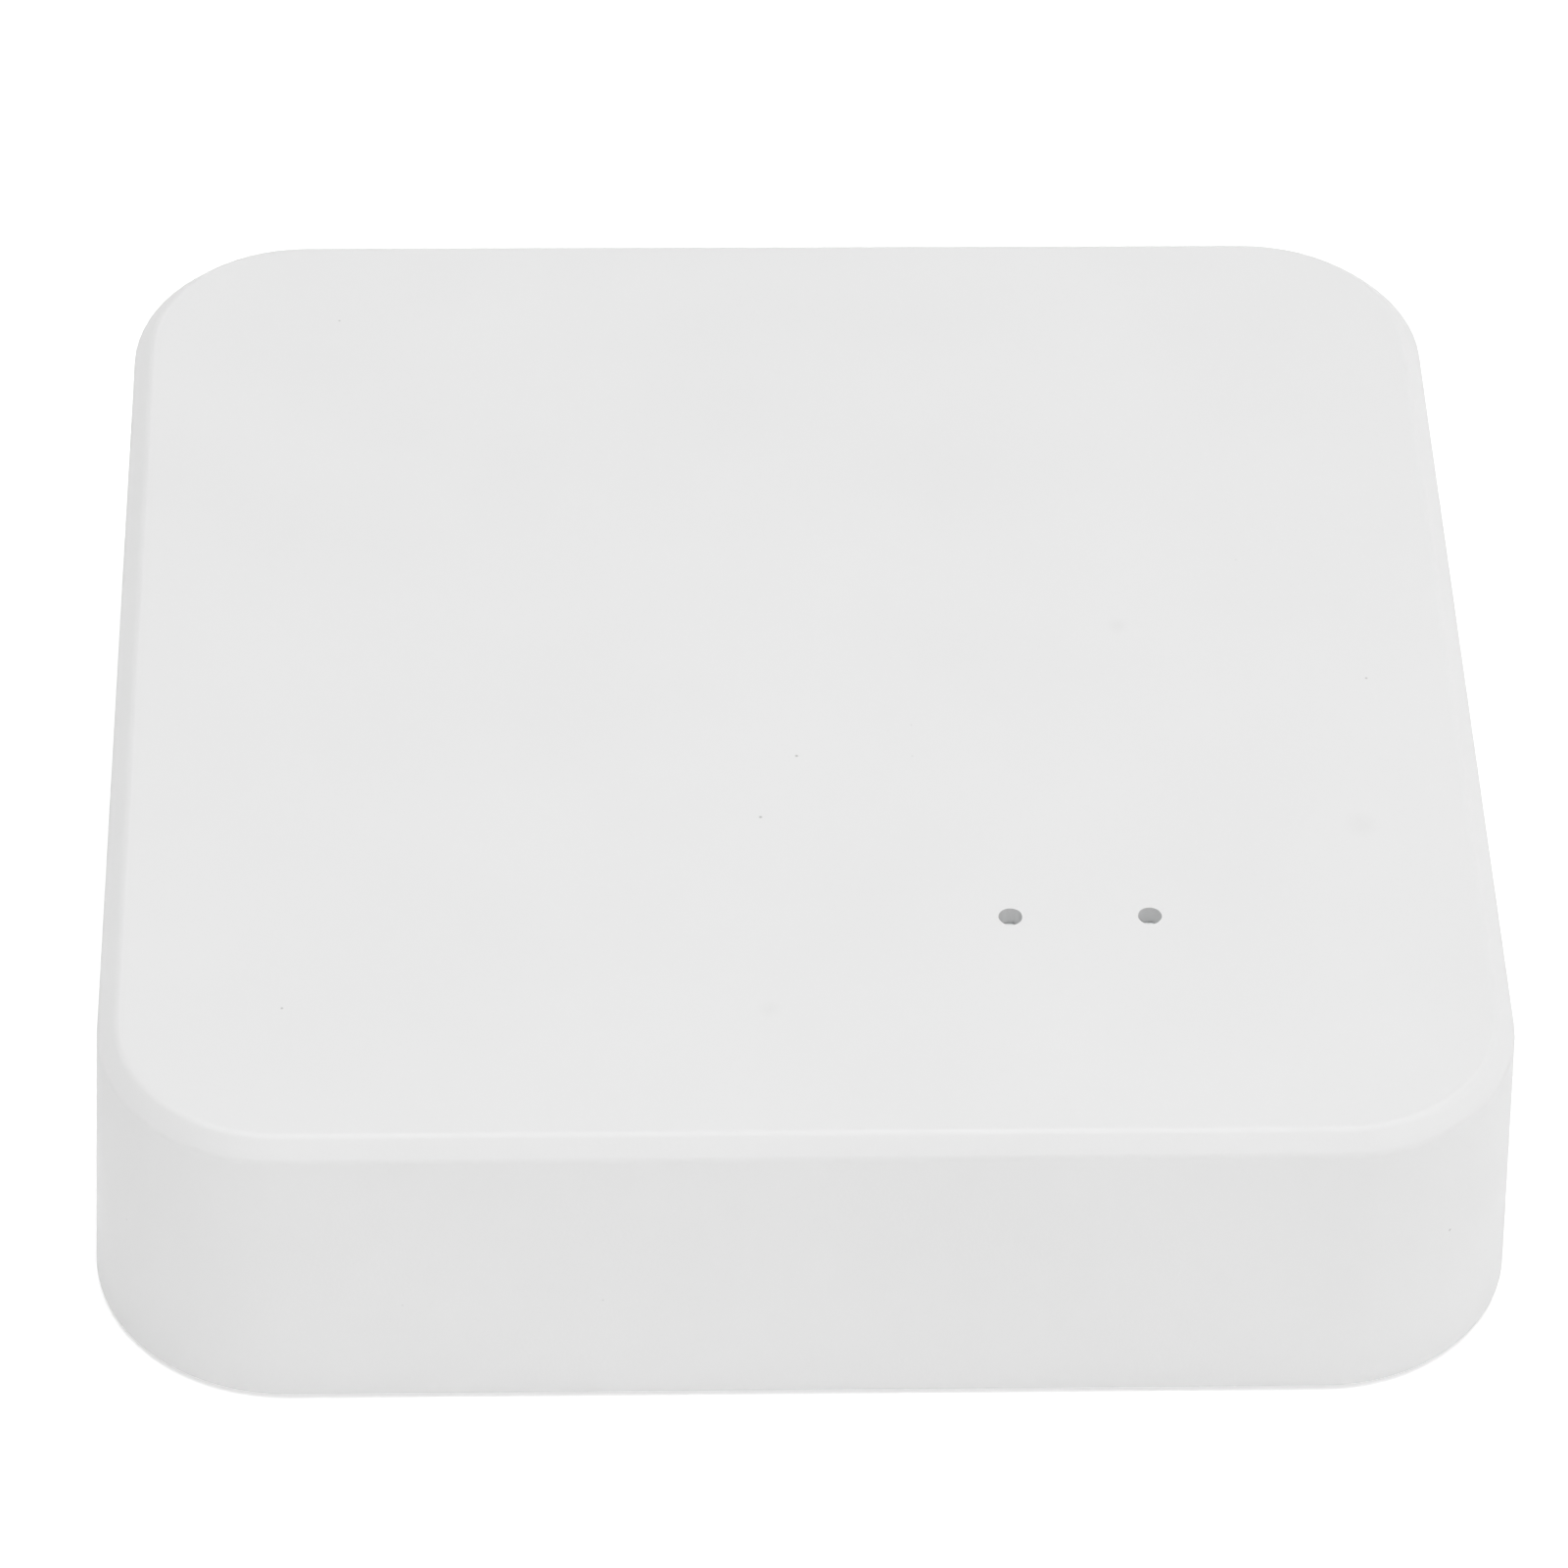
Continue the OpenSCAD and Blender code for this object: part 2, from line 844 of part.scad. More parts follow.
// A moulded package, with a sloping edge, on leads along two or four of its sides
module package(w, d, h, count, pitch, lead_w, sides) {
    stand = 0.1;
    translate([-w / 2, -d / 2, stand])
        cube([w, d, h - stand]);
    for (side = sides)
        rotate(90 * side)
            lead_row(side % 2 == 0 ? w : d, stand + (h - stand) / 2, count, pitch, lead_w);
}

module on_board(x, back) {
    translate([x, board_rear - back, board_top])
        children();
}

module network_transformer() {
    color("dimgray")
    on_board(0, transformer_back)
        rotate(90)
            package(7, 12.7, 5.6, 8, 1.27, 0.4, [0, 2]);
}

module processor() {
    color("dimgray")
    on_board(processor_x, processor_back)
        package(14, 14, 1.4, 16, 0.8, 0.35, [0, 1, 2, 3]);
}

module working_memory() {
    color("dimgray")
    on_board(memory_x, memory_back)
        rotate(90)
            package(10.2, 18.4, 1.2, 22, 0.8, 0.35, [0, 2]);
}

module flash_memory() {
    color("dimgray")
    on_board(flash_x, flash_back)
        package(5.3, 5.3, 1.8, 4, 1.27, 0.42, [0, 2]);
}

// A crystal can with round ends, standing on a thin plate
module crystal_can(w, d, h) {
    linear_extrude(0.4)
        square([w, d], center = true);
    linear_extrude(h)
        rounded_rect(w - 0.6, d - 0.6, (d - 0.6) / 2 - 0.05);
}

module processor_crystal() {
    color("silver")
    on_board(crystal_x, crystal_back)
        crystal_can(11.4, 4.7, 3.6);
}

module voltage_regulator() {
    color("dimgray")
    on_board(regulator_x, regulator_back)
        rotate(90)
            package(3.5, 6.5, 1.6, 3, 2.3, 0.7, [0, 2]);
}

module power_inductor() {
    color("dimgray")
    on_board(inductor_x, inductor_back)
        linear_extrude(3)
            rounded_rect(6, 6, 1.2);
}

module smoothing_capacitor(x) {
    color("silver")
    on_board(x, capacitor_back) {
        linear_extrude(0.8)
            square(capacitor_dia + 0.3, center = true);
        cylinder(d = capacitor_dia, h = capacitor_h);
    }
}

// Two columns of small two-ended chips, one piece each
module chip_columns(x_shift, chip_h) {
    for (x = small_x, n = [0:small_rows - 1])
        on_board(x + x_shift, small_back + n * small_pitch)
            translate([-0.8, -0.4, 0])
                cube([1.6, 0.8, chip_h]);
}

module chip_capacitors() {
    color("tan")
    chip_columns(-1.2, 0.8);
}

module chip_resistors() {
    color("black")
    chip_columns(1.2, 0.45);
}

// ---- Radio module ----

module radio_board() {
    color("darkgreen")
    translate([radio_x - radio_w / 2, radio_y - radio_d / 2, board_top])
        cube([radio_w, radio_d, radio_t]);
}

module radio_shield_can() {
    low = board_top + radio_t;
    color("silver")
    translate([radio_x, radio_y + radio_d / 2 - radio_can_w / 2 - 1, low])
        difference() {
            linear_extrude(radio_can_h)
                rounded_rect(radio_can_w, radio_can_w, 0.6);
            translate([0, 0, -over])
                linear_extrude(radio_can_h - 0.2 + over)
                    square(radio_can_w - 0.4, center = true);
        }
}

module radio_crystal() {
    color("silver")
    translate([radio_x - 2, radio_y + 1, board_top + radio_t])
        linear_extrude(0.7)
            square([3.2, 2.5], center = true);
}

// A flat copper track that winds back and forth at the board's edge
module radio_antenna() {
    track = 0.5;
    turns = 5;
    step = 2.2;
    reach = 3.6;
    copper = 0.05;
    low_y = radio_y - radio_d / 2 + 0.5;
    color("gold")
    translate([radio_x - turns * step / 2, low_y, board_top + radio_t])
        linear_extrude(copper) {
            for (n = [0:turns])
                translate([n * step, 0])
                    square([track, reach]);
            for (n = [0:turns - 1])
                translate([n * step, n % 2 == 0 ? reach - track : 0])
                    square([step + track, track]);
        }
}

top_shell();
bottom_cover();
foot(-1, -1);  // foot_front_left
foot(1, -1);  // foot_front_right
foot(-1, 1);  // foot_rear_left
foot(1, 1);  // foot_rear_right
rating_label();
main_board();
board_screws();
jack_body();
jack_shield();
jack_contacts();
usb_shell();
usb_insulator();
usb_contacts();
reset_button();
reset_switch_base();
reset_switch_plunger();
reset_switch_dome();
reset_switch_cover();
reset_switch_terminals();
light_pipe(light_x[0]);  // light_pipe_left
light_pipe(light_x[1]);  // light_pipe_right
status_led(light_x[0]);  // status_led_left
status_led(light_x[1]);  // status_led_right
network_transformer();
processor();
working_memory();
flash_memory();
processor_crystal();
voltage_regulator();
power_inductor();
smoothing_capacitor(capacitor_x[0]);  // smoothing_capacitor_1
smoothing_capacitor(capacitor_x[1]);  // smoothing_capacitor_2
chip_capacitors();
chip_resistors();
radio_board();
radio_shield_can();
radio_antenna();
radio_crystal();
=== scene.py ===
"""Looks for a wired home hub: its finishes, its softened edges and its small sheet-metal pieces.

The packed model gives every place and size. Lengths in the code are in millimetres, and MM makes them metres.
"""

import math

import bmesh
import bpy
from bpy.props import FloatProperty, FloatVectorProperty, PointerProperty
from mathutils import Matrix, Vector


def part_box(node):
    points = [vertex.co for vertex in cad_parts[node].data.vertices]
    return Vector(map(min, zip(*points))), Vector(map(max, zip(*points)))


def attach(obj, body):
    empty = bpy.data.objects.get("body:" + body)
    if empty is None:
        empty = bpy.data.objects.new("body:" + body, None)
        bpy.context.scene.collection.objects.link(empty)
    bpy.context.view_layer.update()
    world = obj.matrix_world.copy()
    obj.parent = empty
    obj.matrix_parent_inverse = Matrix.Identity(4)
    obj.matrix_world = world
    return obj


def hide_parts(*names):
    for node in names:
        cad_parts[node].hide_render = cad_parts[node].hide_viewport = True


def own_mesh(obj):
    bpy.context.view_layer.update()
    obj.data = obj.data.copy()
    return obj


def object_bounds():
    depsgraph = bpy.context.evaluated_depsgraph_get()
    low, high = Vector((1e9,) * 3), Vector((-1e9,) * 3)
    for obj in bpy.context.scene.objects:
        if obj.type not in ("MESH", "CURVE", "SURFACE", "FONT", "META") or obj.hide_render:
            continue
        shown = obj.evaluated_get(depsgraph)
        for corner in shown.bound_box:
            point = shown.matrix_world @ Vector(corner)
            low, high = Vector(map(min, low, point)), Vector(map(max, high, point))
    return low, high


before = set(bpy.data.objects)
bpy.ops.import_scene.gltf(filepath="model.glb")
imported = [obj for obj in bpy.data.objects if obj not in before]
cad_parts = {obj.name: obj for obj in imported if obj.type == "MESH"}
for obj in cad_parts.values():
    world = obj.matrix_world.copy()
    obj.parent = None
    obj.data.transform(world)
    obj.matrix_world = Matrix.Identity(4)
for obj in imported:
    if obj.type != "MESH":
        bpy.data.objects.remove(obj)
CAD_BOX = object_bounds()

bl_info = {
    "name": "Home Hub Looks",
    "version": (1, 0, 0),
    "blender": (4, 5, 0),
    "location": "View3D > Sidebar > Home Hub",
    "description": "Finishes, soft edges and socket details for a wired home hub",
    "category": "Object",
}

MM = 0.001
# The stage, in metres: the panels, the table, and where the table's light begins to grow and stops
PANEL_SIDE = 0.8
TABLE_RADIUS = 0.8
TABLE_SECTORS = 128
OUTER_START = 0.12
OUTER_END = 0.5
OUTER_GLOW = 0.4
SKIRT_START = 0.05
SKIRT_END = 0.07
# Where the bright walls begin and stop fading, as the sine of the angle above the horizon
WALL_TOP = 0.08
CEILING = 0.3
# The plug's mouth in the network jack: its width, and the height of its middle above the board
MOUTH_WIDTH = 11.8
MOUTH_MIDDLE = 7.95
# Length of an earthing spring, and how far it bows inward
SPRING_LENGTH = 6.5
SPRING_BOW = 0.7
SPRING_STEPS = 16
# Height of the chamfer round the top of the case
CHAMFER = 1.2
# Length of a chip part, and of the tinned cap on each of its ends
CHIP_LENGTH = 1.6
CAP_LENGTH = 0.3
# Sheet of the snap dome in the reset switch, and the rings and sectors it is drawn with
DOME_SHEET = 0.08
DOME_RINGS = 12
DOME_SECTORS = 64


# ---- Colours and nodes ----


def srgb(code):
    """Linear red, green and blue of an sRGB hex colour."""
    shares = [int(code[place : place + 2], 16) / 255 for place in (1, 3, 5)]
    return tuple(s / 12.92 if s <= 0.04045 else ((s + 0.055) / 1.055) ** 2.4 for s in shares)


def opaque(colour):
    return (*colour, 1.0)


def per_mm(size):
    """Scale of a texture whose features are this many millimetres across."""
    return 1 / (size * MM)


def add(tree, kind, sockets=None, **settings):
    """Adds a node with its settings. A socket is given a value, or another node's socket to link to."""
    made = tree.nodes.new(kind)
    for name, value in settings.items():
        setattr(made, name, value)
    for name, value in (sockets or {}).items():
        if isinstance(value, bpy.types.NodeSocket):
            tree.links.new(value, made.inputs[name])
        else:
            made.inputs[name].default_value = value
    return made


def blank(name, **sockets):
    """A material with one Principled shader. Returns it, its tree, its shader and the place on the piece."""
    material = bpy.data.materials.new(name)
    material.use_nodes = True
    tree = material.node_tree
    tree.nodes.clear()
    shader = add(tree, "ShaderNodeBsdfPrincipled", {k.replace("_", " "): v for k, v in sockets.items()})
    add(tree, "ShaderNodeOutputMaterial", {"Surface": shader.outputs["BSDF"]})
    place = add(tree, "ShaderNodeTexCoord").outputs["Object"]
    return material, tree, shader, place


def noise(tree, place, size, detail=2.0, stretch=(1, 1, 1), seed=(0, 0, 0)):
    """Cloudy noise whose features are size millimetres across, drawn longer where stretch is under 1."""
    moved = add(tree, "ShaderNodeMapping", {"Vector": place, "Scale": stretch, "Location": seed})
    cloud = add(
        tree,
        "ShaderNodeTexNoise",
        {"Vector": moved.outputs["Vector"], "Scale": per_mm(size), "Detail": detail, "Roughness": 0.5},
    )
    return cloud.outputs["Fac"]


def span(tree, value, low, high, from_low=0.3, from_high=0.7):
    """Stretches a value between two limits."""
    ranged = add(
        tree,
        "ShaderNodeMapRange",
        {"Value": value, "From Min": from_low, "From Max": from_high, "To Min": low, "To Max": high},
    )
    return ranged.outputs["Result"]


def sums(tree, operation, first, second=0.0):
    return add(tree, "ShaderNodeMath", {0: first, 1: second}, operation=operation).outputs["Value"]


def blend(tree, share, first, second):
    """Mixes two colours, or sockets that give one."""
    ends = {6: first, 7: second}
    ends = {k: v if isinstance(v, bpy.types.NodeSocket) else opaque(v) for k, v in ends.items()}
    return add(tree, "ShaderNodeMix", {0: share, **ends}, data_type="RGBA").outputs[2]


def spots(tree, place, spacing, smallest, growth, share):
    """One round spot in some of the cells of a loose grid, spacing millimetres apart. The radius runs from
    smallest to smallest + growth, as shares of the spacing, and share is how many of the cells stay empty."""
    cells = add(tree, "ShaderNodeTexVoronoi", {"Vector": place, "Scale": per_mm(spacing)}, feature="F1")
    luck = add(tree, "ShaderNodeSeparateColor", {"Color": cells.outputs["Color"]}).outputs["Red"]
    reach = span(tree, luck, smallest, smallest + growth, share, 1.0)
    kept = sums(tree, "GREATER_THAN", luck, share)
    soft = add(
        tree,
        "ShaderNodeMapRange",
        {
            "Value": cells.outputs["Distance"],
            "From Min": reach,
            "From Max": 0.0,
            "To Min": 0.0,
            "To Max": 1.0,
        },
        interpolation_type="SMOOTHSTEP",
    )
    return sums(tree, "MULTIPLY", soft.outputs["Result"], kept)


def emboss(tree, shader, height, depth, under=None):
    """Adds relief of this depth in millimetres. Returns the normal, for a coarser relief to sit on."""
    sockets = {"Height": height, "Distance": depth * MM, "Strength": 1.0}
    if under is not None:
        sockets["Normal"] = under
    bump = add(tree, "ShaderNodeBump", sockets)
    tree.links.new(bump.outputs["Normal"], shader.inputs["Normal"])
    return bump.outputs["Normal"]


# ---- Finishes ----


def moulded_abs(name, colour, grain, grain_depth):
    """ABS, moulded in a spark-eroded steel mould. The fine grain breaks every reflection into a soft sheen,
    and the thick walls leave slow, faint changes of tone. Handling adds specks of dust and faint finger
    marks."""
    material, tree, shader, place = blank(name, IOR=1.53, Roughness=0.5)
    tone = span(tree, noise(tree, place, size=16, detail=2), 0.0, 1.0)
    shade = blend(tree, tone, colour, tuple(0.985 * c for c in colour))
    specks = spots(tree, place, spacing=2.5, smallest=0.02, growth=0.05, share=0.85)
    dust = sums(tree, "MULTIPLY", specks, 0.6)
    prints = spots(tree, place, spacing=12, smallest=0.06, growth=0.08, share=0.7)
    marks = sums(tree, "MULTIPLY", prints, 0.07)
    worn = sums(tree, "MAXIMUM", dust, marks)
    tree.links.new(blend(tree, worn, shade, srgb("#8A8986")), shader.inputs["Base Color"])
    sheen = span(tree, noise(tree, place, size=7, detail=3, seed=(0.4, 0.1, 0.2)), 0.5, 0.6)
    tree.links.new(sheen, shader.inputs["Roughness"])
    waves = emboss(tree, shader, noise(tree, place, size=6, detail=1), depth=0.004)
    emboss(tree, shader, noise(tree, place, size=grain, detail=2), grain_depth, under=waves)
    return material


def silicone_rubber():
    """Silicone rubber, pressed in a blasted mould: matt, a little cloudy, with lint on it."""
    material, tree, shader, place = blank("silicone_rubber", IOR=1.41, Roughness=0.7)
    cloud = span(tree, noise(tree, place, size=2.5, detail=3), 0.0, 1.0)
    tree.links.new(blend(tree, cloud, srgb("#A9A8A4"), srgb("#9B9A96")), shader.inputs["Base Color"])
    emboss(tree, shader, noise(tree, place, size=0.22, detail=2), depth=0.01)
    return material


def label_film(low, high):
    """Polyester film with a printed frame round blank fields: smooth and satin, where the ink is duller."""
    material, tree, shader, place = blank("label_film", IOR=1.6, Roughness=0.35)
    apart = add(tree, "ShaderNodeSeparateXYZ", {"Vector": place})
    line, margin = 0.25 * MM, 1.6 * MM
    middle = (low + high) / 2
    half = (high - low) / 2
    offs = []
    for axis, along in enumerate("XY"):
        shifted = sums(tree, "SUBTRACT", apart.outputs[along], middle[axis])
        offs.append(sums(tree, "SUBTRACT", sums(tree, "ABSOLUTE", shifted), half[axis] - margin))
    border = sums(tree, "COMPARE", sums(tree, "MAXIMUM", *offs), 0.0)
    border.node.inputs[2].default_value = line / 2
    inside = sums(tree, "LESS_THAN", offs[0], 0.0)
    rules = []
    for share in (-0.25, 0.3):
        rule = sums(tree, "COMPARE", apart.outputs["Y"], middle[1] + share * half[1] * 2)
        rule.node.inputs[2].default_value = line / 2
        rules.append(sums(tree, "MULTIPLY", rule, inside))
    ink = sums(tree, "MAXIMUM", border, sums(tree, "MAXIMUM", *rules))
    paper = blend(tree, noise(tree, place, size=0.8, detail=2), srgb("#F1F1EF"), srgb("#ECECEA"))
    tree.links.new(blend(tree, ink, paper, srgb("#8D8E90")), shader.inputs["Base Color"])
    tree.links.new(span(tree, ink, 0.33, 0.5, 0.0, 1.0), shader.inputs["Roughness"])
    emboss(tree, shader, noise(tree, place, size=0.5, detail=1), depth=0.003)
    return material


def solder_mask(name, colour, copper):
    """Glass-fibre board under solder mask: glossy lacquer, paler where it runs over copper tracks, with the
    faint weave of the glass below it."""
    material, tree, shader, place = blank(name, IOR=1.5, Roughness=0.25, Coat_Weight=0.3)
    tracks = add(
        tree,
        "ShaderNodeTexBrick",
        {"Vector": place, "Scale": per_mm(1), "Mortar Size": 0.11, "Brick Width": 3.4, "Row Height": 0.9},
        offset=0.37,
        squash=0.6,
    )
    areas = span(tree, noise(tree, place, size=9, detail=0), 0, 1, from_low=0.45, from_high=0.5)
    mask = sums(tree, "MULTIPLY", tracks.outputs["Fac"], areas)
    tree.links.new(blend(tree, mask, colour, copper), shader.inputs["Base Color"])
    over = emboss(tree, shader, mask, depth=0.03)
    emboss(tree, shader, noise(tree, place, size=0.3, detail=1, stretch=(1, 0.2, 1)), depth=0.004, under=over)
    return material


def rolled_metal(name, colour, roughness, along=(1, 1, 1)):
    """Thin sheet, rolled and plated: fine streaks along the strip, and soft blotches where it was handled."""
    material, tree, shader, place = blank(name, Metallic=1.0, Roughness=roughness)
    streak = noise(tree, place, size=0.12, detail=3, stretch=along)
    blotch = noise(tree, place, size=2.2, detail=2)
    tint = blend(tree, span(tree, blotch, 0, 1), colour, tuple(0.88 * c for c in colour))
    tree.links.new(tint, shader.inputs["Base Color"])
    mixed = sums(tree, "MULTIPLY", sums(tree, "ADD", streak, blotch), 0.5)
    tree.links.new(span(tree, mixed, 0.8 * roughness, 1.3 * roughness), shader.inputs["Roughness"])
    emboss(tree, shader, streak, depth=0.0015)
    return material


def moulded_black(name, colour, grain):
    """A glass-filled moulding resin: nearly black, dull, and slightly uneven where the glass lies."""
    material, tree, shader, place = blank(name, IOR=1.55, Roughness=0.5)
    fibre = noise(tree, place, size=grain, detail=3)
    tint = blend(tree, span(tree, fibre, 0, 1), colour, tuple(1.5 * c + 0.004 for c in colour))
    tree.links.new(tint, shader.inputs["Base Color"])
    tree.links.new(span(tree, noise(tree, place, size=1.5, detail=2), 0.42, 0.62), shader.inputs["Roughness"])
    emboss(tree, shader, fibre, depth=0.006)
    return material


def end_capped(name, body, cap, low, high):
    """Chip parts in two columns: a fired body between two tinned ends."""
    half_length = CHIP_LENGTH / 2 * MM
    cap_length = CAP_LENGTH * MM
    material, tree, shader, place = blank(name, IOR=1.6, Roughness=0.45)
    across = add(tree, "ShaderNodeSeparateXYZ", {"Vector": place}).outputs["X"]
    columns = (low.x + half_length, high.x - half_length)
    offs = [sums(tree, "ABSOLUTE", sums(tree, "SUBTRACT", across, x)) for x in columns]
    ends = sums(tree, "GREATER_THAN", sums(tree, "MINIMUM", *offs), half_length - cap_length)
    fired = blend(tree, noise(tree, place, size=0.15, detail=2), body, tuple(0.85 * c for c in body))
    tree.links.new(blend(tree, ends, fired, cap), shader.inputs["Base Color"])
    tree.links.new(ends, shader.inputs["Metallic"])
    emboss(tree, shader, noise(tree, place, size=0.08, detail=2), depth=0.004)
    return material


def frosted_acrylic():
    """Acrylic, moulded in a blasted mould so that it spreads the light: mostly milky, with faint flow
    lines along the rod."""
    material, tree, shader, place = blank("frosted_acrylic", IOR=1.49, Roughness=0.4, Transmission_Weight=0.2)
    flow = noise(tree, place, size=0.6, detail=1, stretch=(1, 1, 0.15))
    tree.links.new(blend(tree, flow, srgb("#F6F8F8"), srgb("#EDF1F2")), shader.inputs["Base Color"])
    emboss(tree, shader, flow, depth=0.004)
    return material


def lamp_resin():
    """The resin over a white status light: cloudy yellow from the phosphor in it."""
    material, tree, shader, place = blank("lamp_resin", IOR=1.5, Roughness=0.3)
    grains = noise(tree, place, size=0.06, detail=2)
    tree.links.new(blend(tree, grains, srgb("#EDE3A4"), srgb("#F6F2D6")), shader.inputs["Base Color"])
    emboss(tree, shader, grains, depth=0.002)
    return material


# ---- Meshes ----


def shown(node):
    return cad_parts[node]


def finish_node(node, material, edge=0.0, segments=3, rims=()):
    """Gives a CAD node its material, and softens its sharp edges by this many millimetres."""
    piece = shown(node)
    piece.data.materials.clear()
    piece.data.materials.append(material)
    for face in piece.data.polygons:
        face.use_smooth = True
    soften(piece, edge, segments, rims)
    return piece


def round_rim(piece, name, level, edge):
    """Rounds the rim that runs round the outside of a piece at this height."""
    rim = piece.vertex_groups.new(name=name)
    beyond = 0.8 * max(v.co.x for v in piece.data.vertices)
    outside = [
        v.index
        for v in piece.data.vertices
        if abs(v.co.z - level) < 0.01 * MM and max(abs(v.co.x), abs(v.co.y)) > beyond
    ]
    rim.add(outside, 1.0, "REPLACE")
    round_over = piece.modifiers.new(name, "BEVEL")
    round_over.limit_method = "VGROUP"
    round_over.vertex_group = name
    round_over.width = edge * MM
    round_over.segments = 4
    round_over.harden_normals = True


def soften(piece, edge, segments, rims=()):
    """Joins the mesh's facets into whole faces and rounds the edges between them, the named rims more."""
    join = piece.modifiers.new("Join", "WELD")
    join.merge_threshold = 0.002 * MM
    whole = piece.modifiers.new("Whole faces", "DECIMATE")
    whole.decimate_type = "DISSOLVE"
    whole.angle_limit = math.radians(0.3)
    for name, level, rim_edge in rims:
        round_rim(piece, name, level, rim_edge)
    if edge:
        round_over = piece.modifiers.new("Soft edges", "BEVEL")
        round_over.width = edge * MM
        round_over.segments = segments
        round_over.limit_method = "ANGLE"
        round_over.angle_limit = math.radians(25)
        round_over.harden_normals = True
    for name, level, rim_edge in rims:
        # The second rounding leaves stray weights in the rim's group, so they are taken out
        clear = piece.modifiers.new(f"Clear {name}", "VERTEX_WEIGHT_EDIT")
        clear.vertex_group = name
        clear.use_remove = True
        clear.remove_threshold = 0.5
    even = piece.modifiers.new("Flat shading", "WEIGHTED_NORMAL")
    even.keep_sharp = True


def new_piece(name, mesh_data, material, body):
    """Puts a finished mesh into the scene as a piece that rides on a body."""
    mesh = bpy.data.meshes.new(name)
    mesh_data.to_mesh(mesh)
    mesh_data.free()
    for face in mesh.polygons:
        face.use_smooth = True
    mesh.materials.append(material)
    piece = bpy.data.objects.new(name, mesh)
    bpy.context.scene.collection.objects.link(piece)
    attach(piece, body)
    return piece


def strip(path, across, width, thickness):
    """A bent metal strip that follows the points of path, with its width along across and this thickness."""
    form = bmesh.new()
    rings = []
    for n, point in enumerate(path):
        before = path[max(n - 1, 0)]
        after = path[min(n + 1, len(path) - 1)]
        out = (after - before).normalized().cross(across).normalized()
        corners = [(-1, -1), (1, -1), (1, 1), (-1, 1)]
        ring = [point + across * (width / 2 * a) + out * (thickness / 2 * b) for a, b in corners]
        rings.append([form.verts.new(corner) for corner in ring])
    for first, second in zip(rings, rings[1:]):
        for n in range(4):
            form.faces.new((first[n], first[(n + 1) % 4], second[(n + 1) % 4], second[n]))
    form.faces.new(reversed(rings[0]))
    form.faces.new(rings[-1])
    bmesh.ops.recalc_face_normals(form, faces=form.faces)
    return form


def snap_dome(low, high, sheet):
    """A shallow dome of sheet metal that fills the box between two corners, hollow towards the front."""
    form = bmesh.new()
    centre = (low + high) / 2
    radius = (high.x - low.x) / 2
    rise = high.y - low.y - sheet
    ball = (radius**2 + rise**2) / (2 * rise)
    spread = math.asin(radius / ball)
    angles = [spread * n / DOME_RINGS for n in range(DOME_RINGS + 1)]
    base = high.y - ball
    outer = [(ball * math.sin(a), base + ball * math.cos(a)) for a in angles]
    inner = [((ball - sheet) * math.sin(a), base + (ball - sheet) * math.cos(a)) for a in reversed(angles)]
    points = [form.verts.new((centre.x + out, y, centre.z)) for out, y in outer + inner]
    profile = [form.edges.new(pair) for pair in zip(points, points[1:])]
    bmesh.ops.spin(
        form,
        geom=points + profile,
        cent=centre,
        axis=(0, 1, 0),
        angle=2 * math.pi,
        steps=DOME_SECTORS,
        use_merge=True,
    )
    bmesh.ops.remove_doubles(form, verts=form.verts, dist=0.001 * MM)
    bmesh.ops.recalc_face_normals(form, faces=form.faces)
    return form


def spring_path(mouth, inward, sheet):
    """Middle line of an earthing spring: it is folded back from the front of the shield at mouth, runs into
    the jack along its side wall, and bows inward to press on the plug."""
    into = Vector((inward, 0, 0)) * MM
    back = Vector((0, -1, 0)) * MM
    start = mouth + into * (sheet / 2)
    path = arc(start + into * 0.2 - back * 0.05, -into, -back, 0.2, 100, 0, 5)
    for n in range(1, SPRING_STEPS + 1):
        share = n / SPRING_STEPS
        bow = SPRING_BOW * math.sin(math.pi * share) ** 2
        path.append(start + back * (SPRING_LENGTH * share) + into * bow)
    return path


def arc(centre, first, second, radius, start, end, steps):
    """Points of an arc in the plane of two directions, from one angle to another, in degrees."""
    angles = [math.radians(start + (end - start) * n / steps) for n in range(steps + 1)]
    return [centre + radius * (first * math.cos(a) + second * math.sin(a)) for a in angles]


# ---- Settings ----


class CaseSettings(bpy.types.PropertyGroup):
    """The case, its cover and its button"""

    colour: FloatVectorProperty(
        name="Plastic",
        description="Colour of the moulded case",
        subtype="COLOR",
        size=3,
        min=0,
        max=1,
        default=srgb("#E4E4E4"),
    )
    edge: FloatProperty(
        name="Edge width",
        description="Width of the rounding on the case's moulded edges, in millimetres",
        default=0.08,
        min=0.02,
        max=0.2,
    )
    rim: FloatProperty(
        name="Rim width",
        description="Width of the rounding on both sides of the chamfer round the top, in millimetres",
        default=0.28,
        min=0.05,
        max=0.5,
    )
    grain: FloatProperty(
        name="Grain",
        description="Spacing of the grain in millimetres: about 0.1 on a real one, drawn coarser to show",
        default=0.22,
        min=0.05,
        max=1,
    )
    grain_depth: FloatProperty(
        name="Grain depth",
        description="Depth of the mould's grain, in millimetres",
        default=0.006,
        min=0,
        max=0.05,
    )


